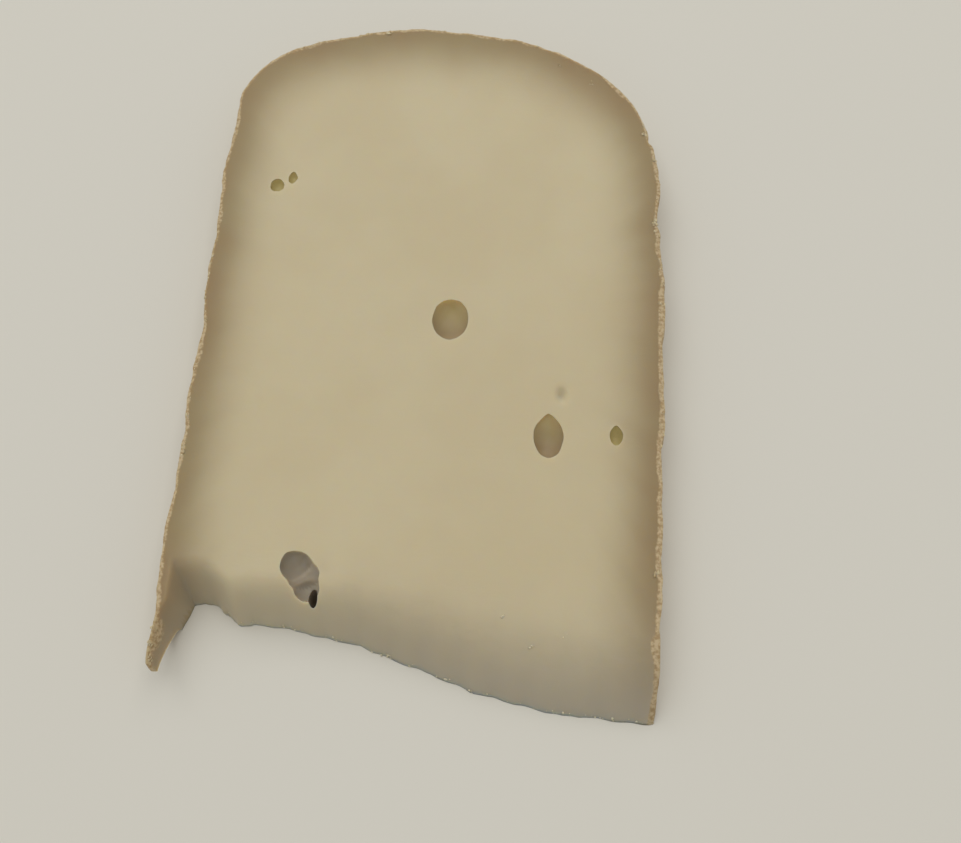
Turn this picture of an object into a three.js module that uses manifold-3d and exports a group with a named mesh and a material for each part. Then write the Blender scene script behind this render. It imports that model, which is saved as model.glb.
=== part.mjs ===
// A slice of goat and sheep tomme: a slab cut straight through a small wheel of cheese.
// Its two long sides are the wheel's flat faces and its arched end is the wheel's rim, all three with rind.
// The near end is broken off: the paste rounds over and falls to a thin edge, and a tongue of rind stays on
// the left.
// Millimetres, +Z up. X runs across the slice, Y along it towards the rim. The slice lies on its cut face.
import * as THREE from "three";
import { ParametricGeometry } from "three/addons/geometries/ParametricGeometry.js";
import { mergeGeometries, mergeVertices } from "three/addons/utils/BufferGeometryUtils.js";
import Module from "manifold-3d";

// Driving dimensions
const WIDTH = 108.6;
const LENGTH = 177.2;
const THICKNESS = 12;

// Plan outline: the rim's wide bow, the rounded shoulders beside it and the right side that draws in
const RIM_RADIUS = 88;
const RIM_CENTRE_X = -4;
const LEFT_SHOULDER = 25;
const RIGHT_SHOULDER = 41;
const RIGHT_DRAW_IN = 4.4;
const NEAR_MARGIN = 4.2;

// Dents in the two sides: where along Y, how deep, and how far each reaches. A negative depth makes a bulge.
const LEFT_DENTS = [
  { y: 58, depth: 0.6, reach: 9 },
  { y: 0, depth: 0.6, reach: 5 },
  { y: -27, depth: 0.5, reach: 4 },
];
const RIGHT_DENTS = [
  { y: 31, depth: 0.7, reach: 4 },
  { y: 8, depth: -0.5, reach: 22 },
  { y: -30, depth: 0.4, reach: 4 },
  { y: -53, depth: 0.6, reach: 5 },
];

// Uneven rind: waves along the outline, and the swell of the side wall at half its height
const RIND_WAVES = [
  { length: 31, height: 0.3 },
  { length: 13, height: 0.22 },
  { length: 6.5, height: 0.16 },
];
const WALL_SWELL = 0.5;
const CORNER_FADE = 0.14;

// Broken end: the thin edge sweeps from the notch on the left to the lowest corner on the right
const EDGE_MIDDLE_X = 1.6;
const EDGE_MIDDLE_Y = -77.9;
const EDGE_SWING = 9.6;
const EDGE_REACH = 26;
const EDGE_WAVES = [
  { length: 17, height: 0.15 },
  { length: 7.3, height: 0.12 },
];
const NOTCH_DEPTH = 3.6;
const NOTCH_FROM_X = -37.9;
const NOTCH_FULL_X = -45.6;
const FALL_RUN_LEFT = 8;
const FALL_RUN_RIGHT = 19;
const FALL_TURN_X = -10;
const FALL_TURN = 25;
const FALL_ROUNDING = 2.4;

// Tongue of rind left standing beside the notch, with its underside broken away towards the tip
const TONGUE_INNER_X = -51;
const TONGUE_ROOT_FLARE = 1.8;
const TONGUE_ROOT_Y = -66;
const TONGUE_ROOT_LENGTH = 6;
const TONGUE_TIP_Y = -81.2;
const TONGUE_RUN = 3;
const TONGUE_TIP_RUN = 1.8;
const FILLET = 0.5;
const TIP_UNDERCUT = { x: -50, y: -84, across: 24, along: 26, height: 6.5 };

// Cut face: the slight unevenness that the knife leaves
const FACE_SWELL = 0.25;
const FACE_SWELL_ACROSS = 19;
const FACE_SWELL_ALONG = 31;

// Eyes in the paste: place, opening across and along, depth, how far the far end narrows to a point, and how
// far down the widest part lies as a share of the depth, which is above the face in a shallow dimple
const EYES = [
  { x: 4.2, y: 0.8, across: 8.4, along: 10.6, depth: 5, taper: 0, sink: 0.15 },
  { x: 27.2, y: -27.6, across: 6.6, along: 10.6, depth: 4.5, taper: 0.5, sink: 0.15 },
  { x: 42.2, y: -27, across: 3, along: 4.8, depth: 3, taper: 0.4, sink: 0.15 },
  { x: 29.9, y: -17.3, across: 2.7, along: 4, depth: 0.6, taper: 0, sink: -1.5 },
  { x: -40.4, y: 37.3, across: 3.5, along: 4.2, depth: 2.6, taper: 0, sink: 0.15 },
  { x: -36.7, y: 39.4, across: 2.2, along: 3.9, depth: 1.9, taper: 0.2, sink: 0.15 },
  { x: -25.6, y: -58.7, across: 6.9, along: 7, depth: 3.4, taper: 0, sink: 0 },
  { x: -23.6, y: -61.2, across: 7.4, along: 7.4, depth: 2.8, taper: 0, sink: -0.3 },
  { x: -22.9, y: -64, across: 5.4, along: 6.2, depth: 3.2, taper: 0, sink: 0 },
  { x: -21.6, y: -65, across: 1.9, along: 3.5, depth: 8, taper: 0, sink: 0.3 },
];

// Fineness of the faceted surfaces
const CELLS_ACROSS = 44;
const CELLS_ALONG = 64;
const CROWDING = 0.75;
const WALL_ROWS = 4;
const EYE_SIDES = 20;
const EYE_RINGS = 12;
const UNDER = 8;
const UNDER_FACE = 7;
const WELD = 1e-4;

const wasm = await Module();
wasm.setup();

const half = WIDTH / 2 - WALL_SWELL;
const rimCentreY = LENGTH / 2 - WALL_SWELL - RIM_RADIUS;
const nearY = -LENGTH / 2 - NEAR_MARGIN;

const smoothstep = (from, to, value) => {
  const t = THREE.MathUtils.clamp((value - from) / (to - from), 0, 1);
  return t * t * (3 - 2 * t);
};

const waveAt = (waves, along) =>
  waves.reduce((sum, wave) => sum + wave.height * Math.sin((2 * Math.PI * along) / wave.length), 0);

const dentAt = (dents, y) =>
  dents.reduce((sum, dent) => sum + dent.depth * Math.exp(-(((y - dent.y) / dent.reach) ** 2)), 0);

// Cell borders crowd towards both ends, where the rind and the broken end need them
const crowded = (t) => t - (CROWDING * Math.sin(2 * Math.PI * t)) / (2 * Math.PI);

// A shoulder's arc touches its long side and, from inside, the arc of the rim
function shoulderCentre(side, radius) {
  const x = side * (half - radius);
  const y = rimCentreY + Math.sqrt((RIM_RADIUS - radius) ** 2 - (x - RIM_CENTRE_X) ** 2);
  return new THREE.Vector2(x, y);
}

const leftCentre = shoulderCentre(-1, LEFT_SHOULDER);
const rightCentre = shoulderCentre(1, RIGHT_SHOULDER);
const rimAngle = (centre) => Math.atan2(centre.y - rimCentreY, centre.x - RIM_CENTRE_X);
const leftSplit = (3 * Math.PI) / 4;
const rightSplit = Math.PI / 4;

// The four borders of the plan, each as a path from its left or near end, with corners at the middle of the
// shoulders
const rightNear = new THREE.Vector2(half - RIGHT_DRAW_IN, nearY);
const leftBorder = new THREE.Path();
leftBorder.moveTo(-half, nearY).lineTo(-half, leftCentre.y);
leftBorder.absarc(leftCentre.x, leftCentre.y, LEFT_SHOULDER, Math.PI, leftSplit, true);
const rightBorder = new THREE.Path();
rightBorder.moveTo(rightNear.x, rightNear.y);
rightBorder.quadraticCurveTo(half, (nearY + rightCentre.y) / 2, half, rightCentre.y);
rightBorder.absarc(rightCentre.x, rightCentre.y, RIGHT_SHOULDER, 0, rightSplit, false);
const rimBorder = new THREE.Path();
rimBorder.absarc(leftCentre.x, leftCentre.y, LEFT_SHOULDER, leftSplit, rimAngle(leftCentre), true);
rimBorder.absarc(RIM_CENTRE_X, rimCentreY, RIM_RADIUS, rimAngle(leftCentre), rimAngle(rightCentre), true);
rimBorder.absarc(rightCentre.x, rightCentre.y, RIGHT_SHOULDER, rimAngle(rightCentre), rightSplit, true);
const nearBorder = new THREE.LineCurve(new THREE.Vector2(-half, nearY), rightNear);

// Waves of the rind by the distance along a border, faded out at the border's ends so that the corners meet
function rindWave(border, t) {
  const fade = smoothstep(0, CORNER_FADE, t) * smoothstep(1, 1 - CORNER_FADE, t);
  return fade * waveAt(RIND_WAVES, t * border.getLength());
}

// A border's point with its dents and waves, pushed along the border's normal; side is +1 where the outside
// is on its left
function roughPoint(border, t, side, dents) {
  const point = border.getPointAt(t);
  const tangent = border.getTangentAt(t);
  const push = rindWave(border, t) - dentAt(dents, point.y);
  return point.add(new THREE.Vector2(-tangent.y, tangent.x).multiplyScalar(side * push));
}

const leftAt = (v) => roughPoint(leftBorder, v, 1, LEFT_DENTS);
const rightAt = (v) => roughPoint(rightBorder, v, -1, RIGHT_DENTS);
const rimAt = (u) => roughPoint(rimBorder, u, 1, []);
const nearAt = (u) => nearBorder.getPointAt(u);

// The plan point at (u, v): a patch stretched between the four borders
function planPoint(u, v) {
  const between = (a, b, t) => a.clone().lerp(b, t);
  const sides = between(leftAt(v), rightAt(v), u);
  const ends = between(nearAt(u), rimAt(u), v);
  const corners = between(between(nearAt(0), nearAt(1), u), between(rimAt(0), rimAt(1), u), v);
  return sides.add(ends).sub(corners);
}

// Where the thin edge of the broken end runs, as Y over X
function brokenEdge(x) {
  const sweep = EDGE_MIDDLE_Y - EDGE_SWING * Math.tanh((x - EDGE_MIDDLE_X) / EDGE_REACH);
  const notch = NOTCH_DEPTH * smoothstep(NOTCH_FROM_X, NOTCH_FULL_X, x);
  return sweep + notch + waveAt(EDGE_WAVES, x);
}

// Height of the upper face: flat as cut, rounding down over the broken end and the inner side of the tongue
function topHeight({ x, y }) {
  const turn = (1 + Math.tanh((x - FALL_TURN_X) / FALL_TURN)) / 2;
  const main = (y - brokenEdge(x)) / THREE.MathUtils.lerp(FALL_RUN_LEFT, FALL_RUN_RIGHT, turn);
  const flare = TONGUE_ROOT_FLARE * smoothstep(TONGUE_ROOT_Y - TONGUE_ROOT_LENGTH, TONGUE_ROOT_Y, y);
  const tongue = Math.min((TONGUE_INNER_X + flare - x) / TONGUE_RUN, (y - TONGUE_TIP_Y) / TONGUE_TIP_RUN);
  const inside = (main + tongue + Math.hypot(main - tongue, FILLET)) / 2;
  const rise = inside < 0 ? FALL_ROUNDING * inside : 1 - (1 - Math.min(inside, 1)) ** FALL_ROUNDING;
  const swell = FACE_SWELL * Math.sin(x / FACE_SWELL_ACROSS) * Math.cos(y / FACE_SWELL_ALONG);
  return Math.max(rise * (THICKNESS + swell), -UNDER_FACE);
}

// A closed geometry as a solid: shared vertices merged, collapsed triangles dropped
function solidOf(geometry) {
  const bare = new THREE.BufferGeometry();
  bare.setAttribute("position", geometry.attributes.position);
  bare.setIndex(geometry.index);
  const merged = mergeVertices(bare, WELD);
  const corners = merged.index.array;
  const kept = [];
  for (let i = 0; i < corners.length; i += 3) {
    const [a, b, c] = corners.slice(i, i + 3);
    if (a !== b && b !== c && c !== a) {
      kept.push(a, b, c);
    }
  }
  const vertProperties = merged.attributes.position.array;
  return new wasm.Manifold(new wasm.Mesh({ numProp: 3, vertProperties, triVerts: new Uint32Array(kept) }));
}

// The upper face as a grid over the plan
function upperFace() {
  const place = (u, v, target) => {
    const plan = planPoint(crowded(u), crowded(v));
    target.set(plan.x, plan.y, topHeight(plan));
  };
  return new ParametricGeometry(place, CELLS_ACROSS, CELLS_ALONG);
}

// The plan's border as a counter-clockwise loop of points, at the upper face's own grid lines
function borderLoop() {
  const loop = [];
  for (let i = 0; i < CELLS_ACROSS; i += 1) {
    loop.push(planPoint(crowded(i / CELLS_ACROSS), 0));
  }
  for (let j = 0; j < CELLS_ALONG; j += 1) {
    loop.push(planPoint(1, crowded(j / CELLS_ALONG)));
  }
  for (let i = CELLS_ACROSS; i > 0; i -= 1) {
    loop.push(planPoint(crowded(i / CELLS_ACROSS), 1));
  }
  for (let j = CELLS_ALONG; j > 0; j -= 1) {
    loop.push(planPoint(0, crowded(j / CELLS_ALONG)));
  }
  return loop;
}

// The rind wall round the loop, swelling outwards at half its height
function rindWall(loop) {
  const place = (u, v, target) => {
    const k = Math.round(u * loop.length) % loop.length;
    const before = loop[(k + loop.length - 1) % loop.length];
    const after = loop[(k + 1) % loop.length];
    const outward = new THREE.Vector2(after.y - before.y, before.x - after.x).normalize();
    const top = topHeight(loop[k]);
    const z = THREE.MathUtils.lerp(-UNDER, top, v);
    const height = z > 0 ? z / top : 0;
    const plan = loop[k].clone().addScaledVector(outward, WALL_SWELL * 4 * height * (1 - height));
    target.set(plan.x, plan.y, z);
  };
  return new ParametricGeometry(place, loop.length, WALL_ROWS);
}

// The flat lower cap, facing down
function lowerCap(loop) {
  const cap = new THREE.ShapeGeometry(new THREE.Shape(loop));
  cap.translate(0, 0, -UNDER);
  cap.index.array.reverse();
  return cap;
}

// The slab stands a little below Z = 0 and is cut off level there, which leaves the broken end its thin edge
function slab() {
  const loop = borderLoop();
  const skin = mergeGeometries([upperFace(), rindWall(loop), lowerCap(loop)]);
  const above = new THREE.BoxGeometry(2 * WIDTH, 2 * LENGTH, 2 * THICKNESS);
  above.translate(0, 0, THICKNESS);
  return solidOf(skin).intersect(solidOf(above));
}

// One eye: a ball drawn to its opening and depth, its far end narrowed, its widest part sunk below the face
function eyeCavity({ x, y, across, along, depth, taper, sink }) {
  const ball = new THREE.SphereGeometry(1, EYE_SIDES, EYE_RINGS);
  const place = ball.attributes.position;
  for (let i = 0; i < place.count; i += 1) {
    const narrow = 1 - taper * Math.max(0, place.getY(i)) ** 2;
    place.setXYZ(i, place.getX(i) * narrow, place.getY(i), place.getZ(i) * narrow);
  }
  const spread = 1 / Math.sqrt(1 - (sink / (1 - sink)) ** 2);
  ball.scale((across / 2) * spread, (along / 2) * spread, depth * (1 - sink));
  ball.translate(x, y, topHeight({ x, y }) - sink * depth);
  return solidOf(ball);
}

// The hollow under the tongue's tip
function tipUndercut() {
  const ball = new THREE.SphereGeometry(1, EYE_SIDES, EYE_RINGS);
  ball.scale(TIP_UNDERCUT.across / 2, TIP_UNDERCUT.along / 2, TIP_UNDERCUT.height);
  ball.translate(TIP_UNDERCUT.x, TIP_UNDERCUT.y, 0);
  return solidOf(ball);
}

function tommeSlice() {
  const cut = EYES.reduce((left, eye) => left.subtract(eyeCavity(eye)), slab().subtract(tipUndercut()));
  const { vertProperties, triVerts } = cut.getMesh();
  const geometry = new THREE.BufferGeometry();
  geometry.setAttribute("position", new THREE.BufferAttribute(vertProperties, 3));
  geometry.setIndex(new THREE.BufferAttribute(triVerts, 1));
  geometry.computeVertexNormals();
  geometry.computeBoundingBox();
  const paste = new THREE.MeshStandardMaterial({ color: 0xd8cca8, roughness: 0.55, metalness: 0 });
  const slice = new THREE.Mesh(geometry, paste);
  slice.name = "tomme_slice";
  // The origin is under the middle of the slice, on the surface that it lies on
  const middle = geometry.boundingBox.getCenter(new THREE.Vector3());
  slice.position.set(-middle.x, -middle.y, -geometry.boundingBox.min.z);
  return slice;
}

const part = new THREE.Group();
part.add(tommeSlice());

export default part;
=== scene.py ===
"""A slice of goat and sheep tomme: a cut slab of pressed ivory paste with rind on three sides, a few
round eyes and a broken near end, on a plain pale floor.

Sizes are millimetres as drawn: X across the slice, Y along it towards the arched rim, Z up. Meshes are
in metres.
"""
import itertools

import bpy
import numpy as np
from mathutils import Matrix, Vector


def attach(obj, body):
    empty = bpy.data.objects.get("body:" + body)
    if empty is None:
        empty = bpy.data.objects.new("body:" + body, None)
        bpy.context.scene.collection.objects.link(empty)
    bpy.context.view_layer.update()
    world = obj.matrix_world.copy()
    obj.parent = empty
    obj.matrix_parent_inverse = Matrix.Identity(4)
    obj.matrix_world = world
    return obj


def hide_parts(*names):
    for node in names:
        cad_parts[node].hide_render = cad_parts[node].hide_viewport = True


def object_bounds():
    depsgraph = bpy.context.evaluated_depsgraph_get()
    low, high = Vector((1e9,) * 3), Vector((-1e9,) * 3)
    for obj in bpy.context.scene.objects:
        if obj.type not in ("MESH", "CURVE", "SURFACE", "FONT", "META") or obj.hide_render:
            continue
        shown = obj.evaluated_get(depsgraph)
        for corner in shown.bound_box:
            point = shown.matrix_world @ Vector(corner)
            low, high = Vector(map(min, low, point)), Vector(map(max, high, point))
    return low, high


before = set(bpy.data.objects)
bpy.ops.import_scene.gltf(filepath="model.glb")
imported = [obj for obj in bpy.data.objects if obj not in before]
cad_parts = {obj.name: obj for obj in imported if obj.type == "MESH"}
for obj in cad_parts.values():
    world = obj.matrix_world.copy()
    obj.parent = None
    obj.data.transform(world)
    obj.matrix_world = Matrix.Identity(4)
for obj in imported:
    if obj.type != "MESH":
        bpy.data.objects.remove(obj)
cad_low, cad_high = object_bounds()

MM = 0.001

# Driving dimensions of the slice, the same as those of its solid
WIDTH = 108.6
LENGTH = 177.2
THICKNESS = 12

# Plan outline: the rim's wide bow, the rounded shoulders beside it, and how far the right side draws in.
# The sides are drawn on past the broken end
RIM_RADIUS = 88
RIM_CENTRE_X = -4
LEFT_SHOULDER = 25
RIGHT_SHOULDER = 41
RIGHT_DRAW_IN = 4.4
NEAR_MARGIN = 4.2

# Dents in the two sides: where along Y, how deep, and how far each reaches. A negative depth makes a bulge
LEFT_DENTS = [(58, 0.6, 9), (0, 0.6, 5), (-27, 0.5, 4)]
RIGHT_DENTS = [(31, 0.7, 4), (8, -0.5, 22), (-30, 0.4, 4), (-53, 0.6, 5)]

# Waves along the outline, as length and height, the swell of the side wall at half its height, and the
# share of each border over which the waves fade at its ends
RIND_WAVES = [(31, 0.3), (13, 0.13), (6.5, 0.07)]
WALL_SWELL = 0.5
WAVE_FADE = 0.14

# Broken end: the thin edge sweeps from the notch on the left to the lowest corner on the right. The fall to
# it is short on the left and long on the right, and rounds over at its crest
EDGE_MIDDLE_X = 1.6
EDGE_MIDDLE_Y = -77.9
EDGE_SWING = 9.6
EDGE_REACH = 26
EDGE_WAVES = [(17, 0.15), (7.3, 0.12)]
NOTCH_DEPTH = 3.6
NOTCH_FROM_X = -37.9
NOTCH_FULL_X = -45.6
FALL_RUN_LEFT = 8
FALL_RUN_RIGHT = 19
FALL_TURN_X = -10
FALL_TURN = 25
FALL_ROUNDING = 2.4

# Tongue of rind left standing beside the notch, with its underside broken away towards the tip
TONGUE_INNER_X = -51
TONGUE_ROOT_FLARE = 1.8
TONGUE_ROOT_Y = -66
TONGUE_ROOT_LENGTH = 6
TONGUE_TIP_Y = -81.2
TONGUE_RUN = 3
TONGUE_TIP_RUN = 1.8
TONGUE_TAPER = 0.9
FILLET = 0.15
UNDERCUT_PLACE = (-50, -84, 0)
UNDERCUT_HALF = (12, 13, 6.5)

# Cut face: the slight unevenness that the knife leaves
FACE_SWELL = 0.25
FACE_SWELL_ACROSS = 19
FACE_SWELL_ALONG = 31

# Eyes in the paste: place, opening across and along, depth, how far the far end narrows to a point, how far
# down the widest part lies as a share of the depth, and how uneven the wall is
ROUND_EYE = (4.2, 0.8, 8.4, 10.6, 5, 0, 0.15, 0.03)
TALL_EYE = (27.2, -27.6, 6.6, 10.6, 4.5, 0.5, 0.15, 0.03)
NARROW_EYES = [
    (42.2, -27, 3, 4.8, 3, 0.4, 0.15, 0.05),
    (-40.3, 37, 4, 3.6, 2.4, 0, 0.15, 0.2),
    (-36.7, 39.3, 2.2, 3.7, 1.9, 0.2, 0.15, 0.2),
]
EYES = [ROUND_EYE, TALL_EYE, *NARROW_EYES]

# The irregular hollow: three lobes that run together, how sharply they meet, how far below their centres
# the middle lies from which they are joined, how much the joined skin is drawn in, and the dark slot in the
# lowest lobe
HOLLOW = [
    (-25.6, -58.7, 6.9, 7, 3.4, 0, 0, 0),
    (-23.6, -61.2, 7.4, 7.4, 2.8, 0, -0.3, 0),
    (-22.9, -64, 5.4, 6.2, 3.2, 0, 0, 0),
]
HOLLOW_BLEND = 7
HOLLOW_DROP = 1
HOLLOW_DRAW_IN = 0.95
SLOT = (-21.6, -65, 1.9, 3.5, 8, 0, 0.3, 0.1)

# Unevenness of the eyes' walls: cell, how many layers are summed, and the first eye's seed and the step to
# the next
EYE_UNEVEN_CELL = 2.2
EYE_UNEVEN_LAYERS = 3
EYE_SEED = 70
EYE_SEED_STEP = 5

# Rough noise, as cell, height, how many layers are summed and seed: the width of the cut rind, the rind's
# outer side, its cut edge, the knife's drag, the curd of the fall, the rags of the thin edge and those round
# the notch, the reach of the darker margin, and the walls of the hollow and of the undercut
BAND_LAYERS = [(9, 0.4, 1, 21), (3, 0.4, 1, 22)]
SIDE_LAYERS = [(9, 0.08, 1, 11), (1.7, 0.08, 3, 12)]
CRUST_LAYERS = [(1.6, 0.08, 3, 31)]
DRAG_LAYERS = [(9, 0.03, 1, 34)]
CURD_LAYERS = [(6, 0.16, 1, 36), (2.2, 0.07, 3, 37)]
RAG_LAYERS = [(2.4, 0.14, 2, 41)]
NOTCH_RAG_LAYERS = [(1.2, 0.3, 2, 44)]
MARGIN_LAYERS = [(20, 1.2, 1, 24)]
HOLLOW_LAYERS = [(EYE_UNEVEN_CELL, 0.07, EYE_UNEVEN_LAYERS, 65)]
UNDERCUT_LAYERS = [(4, 0.04, 3, 61)]

# How far the rags reach up the fall, as a share of its run, and over what length those of the notch set in
RAG_REACH = 0.2
NOTCH_RAG_FADE = 8

# The rind where the knife cut through it: width, the least and the most, how much more there is on the
# right side and the stretches over which that sets in, how soft its inner line is, how far its outer corner
# drops and over what depth
BAND_WIDTH = 0.7
BAND_LEAST = 0.2
BAND_MOST = 2
BAND_RIGHT_EXTRA = 0.35
BAND_RIGHT_X = (35, 50)
BAND_RIGHT_Y = (62, 45)
BAND_BLUR = 0.3
CORNER_DROP = 0.15
CORNER_REACH = 0.4

# How fast the relief of the rind's outer side fades on the face
RELIEF_FADE = 0.9

# Bell-shaped spots, as place, reach across and along, and height: dimples in the face, chips out of the
# rind, and where the cut rind is wider
DIMPLES = [(30, -17.6, 1.1, 1.6, 1.3), (-38.2, -21.5, 1.1, 1.5, 0.15), (-20.2, -60.6, 2, 3.6, 0.5)]
CHIPS = [(52.3, 53.4, 1.3, 1.3, 0.8), (48.5, -61, 2, 1, 0.4), (53.5, 28.5, 2, 1.2, 0.4)]
WIDE_RIND = [(50.5, -73.8, 3, 2.4, 2), (-53.5, -76, 3, 7, 0.5)]

# Crumbs at spots of their own: place, how far they scatter, how many there are, and half size
RIND_SPOTS = [
    (50.8, 55.8, 0.4, 4, 0.3),
    (53.2, 47.8, 0.8, 8, 0.34),
    (52.6, 29.2, 0.9, 10, 0.3),
    (28.8, 77.4, 1, 3, 0.15),
    (37.7, 71.7, 1, 3, 0.15),
    (51.2, -69.2, 0.4, 4, 0.34),
    (49.9, -58, 0.5, 3, 0.3),
    (-53.4, -73, 0.5, 6, 0.17),
    (-53.4, -76, 0.5, 9, 0.2),
    (-53.4, -79, 0.5, 9, 0.2),
]
PASTE_SPOTS = [(18.2, -68.1, 0.3, 3, 0.22), (23.9, -73.7, 0.4, 4, 0.22), (31, -71.6, 0.3, 2, 0.14)]

# Length, width and height of a crumb as shares of its half size, how much each differs, how far it tilts,
# turns and is uneven, and how far crumbs scatter about their spot, as a share of its reach
FLAT_FLAKE = (1.7, 0.9, 0.4)
ROUND_CRUMB = (1.2, 1, 0.7)
CRUMB_SPREAD = (0.7, 1.3)
LUMP_TILT = 0.3
LUMP_TURN = 0.6
LUMP_UNEVEN = 0.35
SCATTER = 0.6

# Crumbs along the rind: how many are drawn, on what shares of the outline, the cell of their clusters, how
# dense these are, half size with its spread and limits, the least height and depth at which they are kept,
# and the seeds of the places, the clusters and the lumps
RIND_DRAWS = 420
RIND_SHARES = (0.03, 0.97)
CLUSTER_CELL = 11
CLUSTER_LEVELS = (-0.1, 0.9)
RIND_CRUMB_SIZE = 0.16
RIND_CRUMB_SPREAD = 0.4
RIND_CRUMB_LIMITS = (0.08, 0.45)
RIND_CRUMB_LEVEL = 1.5
RIND_CRUMB_DEPTH = -0.3
RIND_SEED = 81
CLUSTER_SEED = 84
RIND_LUMP_SEED = 82

# Crumbs of paste at the foot of the broken end: how many, from where to where, how far up, half sizes, how
# far they stand out as a share of their half size, and the seeds of the places and the lumps
FOOT_DRAWS = 60
FOOT_X = (-44, 48)
FOOT_REACH = 0.6
FOOT_SIZES = (0.08, 0.24)
PASTE_CRUMB_LIFT = 0.3
PASTE_SEED = 91
PASTE_LUMP_SEED = 92

# The darker margin inside the rind: over what depth it fades, and how much more at the rim, with the
# stretch over which that sets in. How far the greyer colour and painted shade of the broken end reach, as
# a share of the fall's run, and their strength on the steep left part, which shades itself
MARGIN_REACH = 8.6
MARGIN_RIM_EXTRA = 2.8
MARGIN_RIM_Y = (30, 80)
BREAK_GREY_AND_SHADE_REACH = 1.6
BREAK_GREY_AND_SHADE_LEFT = 0.5

# Where the finish of the eyes and of the rind's outer side sets in: depths below the face, depths inside
# the rind, distances from an eye's centre as shares of its half sizes, and how far a point stands above the
# underside to count
EYE_EDGE = (0.2, 0.6)
SIDE_EDGE = (0.3, 0.9)
SIDE_DEPTH = (1.2, 0.8)
EYE_WALL = (1.25, 1.1)
FLOOR_CLEAR = 0.01

# Fineness of the meshes, with finer cells near the slab's borders and higher up its wall, the side of the
# noise's lattice, and the angle in degrees from which an edge is drawn sharp
BORDER_SAMPLES = 1500
OUTLINE_SAMPLES = 3200
OUTLINE_SMOOTHING = 50
CELLS_ACROSS = 205
CELLS_ALONG = 330
EDGE_CELLS = 15
EDGE_SHARE_ACROSS = 0.03
EDGE_SHARE_ALONG = 0.02
WALL_ROWS = 14
WALL_CROWDING = 0.75
EYE_ROWS = 30
EYE_COLUMNS = 48
LUMP_ROWS = 3
LUMP_COLUMNS = 6
UNDERSIDE_CELL = 2.5
NOISE_SIDE = 64
SHARP_ANGLE = 50

# How far the uncut slab reaches below the slice and past its broken end, and half the sides of the block that
# cuts it level, as a share of the slice's
UNDER = 3.5
UNDER_FACE = 3
NEAR_CLEAR = 3.5
TONGUE_CLEAR = 11.5
TONGUE_CLEAR_FROM_X = -12
LEVEL_HALF = 0.75

# Camera at the photograph's viewing angle, floor, soft box, and the strength of the light from all round
CAMERA_PLACE = (15.12, -111.55, 216.65)
CAMERA_TILT = 23
CAMERA_TURN = 2
PICTURE_WIDTH = 961
FOCAL_PIXELS = 1000
SENSOR = 36
CLIP_START = 10
FLOOR_HALF = 3000
SOFT_BOX_PLACE = (-300, 1250, 2900)
SOFT_BOX_SIZE = 3600
SOFT_BOX_POWER = 62
ROUND_LIGHT = 0.45

# Worked out from these: half the width and the rim's centre inside the swell, the near end of the sides, and
# the middle from which the outline is looked up
half = WIDTH / 2 - WALL_SWELL
rim_centre = np.array([RIM_CENTRE_X, LENGTH / 2 - WALL_SWELL - RIM_RADIUS])
near_y = -LENGTH / 2 - NEAR_MARGIN
middle = np.array(ROUND_EYE[:2])


# Small mathematics

def smoothstep(low, high, value):
    """0 at low, 1 at high, along a smooth S between them."""
    t = np.clip((value - low) / (high - low), 0, 1)
    return t * t * (3 - 2 * t)


def mix(a, b, share):
    """A straight blend: a at share 0, b at share 1."""
    return a + (b - a) * share


def soft_noise(points, cell, seed):
    """Smooth noise from -1 to 1: a random value at each corner of a lattice of cells, blended between
    the eight corners round a point by smooth steps."""
    values = np.random.default_rng(seed).uniform(-1, 1, (NOISE_SIDE,) * 3)
    scaled = points / cell
    base = np.floor(scaled).astype(int)
    share = smoothstep(0, 1, scaled - base)
    total = np.zeros(scaled.shape[:-1])
    for corner in itertools.product((0, 1), repeat=3):
        weight = np.where(corner, share, 1 - share).prod(axis=-1)
        x, y, z = np.moveaxis((base + corner) % NOISE_SIDE, -1, 0)
        total += weight * values[x, y, z]
    return total


def crumble(points, cell, seed, octaves):
    """Rough noise: soft noise at finer and finer cells, each of half the size and strength of the last."""
    return sum(soft_noise(points, cell / 2**i, seed + i) / 2**i for i in range(octaves))


def layered(layers, points):
    """The sum of rough noises, each given by its cell, height, number of layers and seed."""
    return sum(height * crumble(points, cell, seed, octaves) for cell, height, octaves, seed in layers)


def on_level(plan, z=0.0):
    """Plan points (..., 2) as points in space at the height z."""
    return np.concatenate([plan, np.broadcast_to(z, plan.shape[:-1])[..., None]], axis=-1)


def unit(vectors):
    """Vectors at length 1."""
    return vectors / np.linalg.norm(vectors, axis=-1, keepdims=True)


def wave_at(waves, along):
    """The sum of sine waves, each given by its length and height."""
    return sum(height * np.sin(2 * np.pi * along / length) for length, height in waves)


def dent_at(dents, y):
    """The sum of bell-shaped dents, each given by its place, depth and reach."""
    return sum(depth * np.exp(-(((y - place) / reach) ** 2)) for place, depth, reach in dents)


# Plan outline

def shoulder_centre(side, radius):
    """Centre of the arc that touches a long side and, from inside, the arc of the rim."""
    x = side * (half - radius)
    y = rim_centre[1] + np.sqrt((RIM_RADIUS - radius) ** 2 - (x - RIM_CENTRE_X) ** 2)
    return np.array([x, y])


def arc(centre, radius, start, end):
    """Points on a circle from one angle to another."""
    angle = np.linspace(start, end, BORDER_SAMPLES)[:, None]
    return centre + radius * np.hstack([np.cos(angle), np.sin(angle)])


def along_path(path):
    """How far along the path each of its points lies."""
    return np.append(0, np.cumsum(np.hypot(*np.diff(path, axis=0).T)))


def at_shares(path, shares):
    """The path's points at shares of its length from 0 to 1."""
    along = along_path(path) / along_path(path)[-1]
    return np.column_stack([np.interp(shares, along, path[:, 0]), np.interp(shares, along, path[:, 1])])


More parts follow.
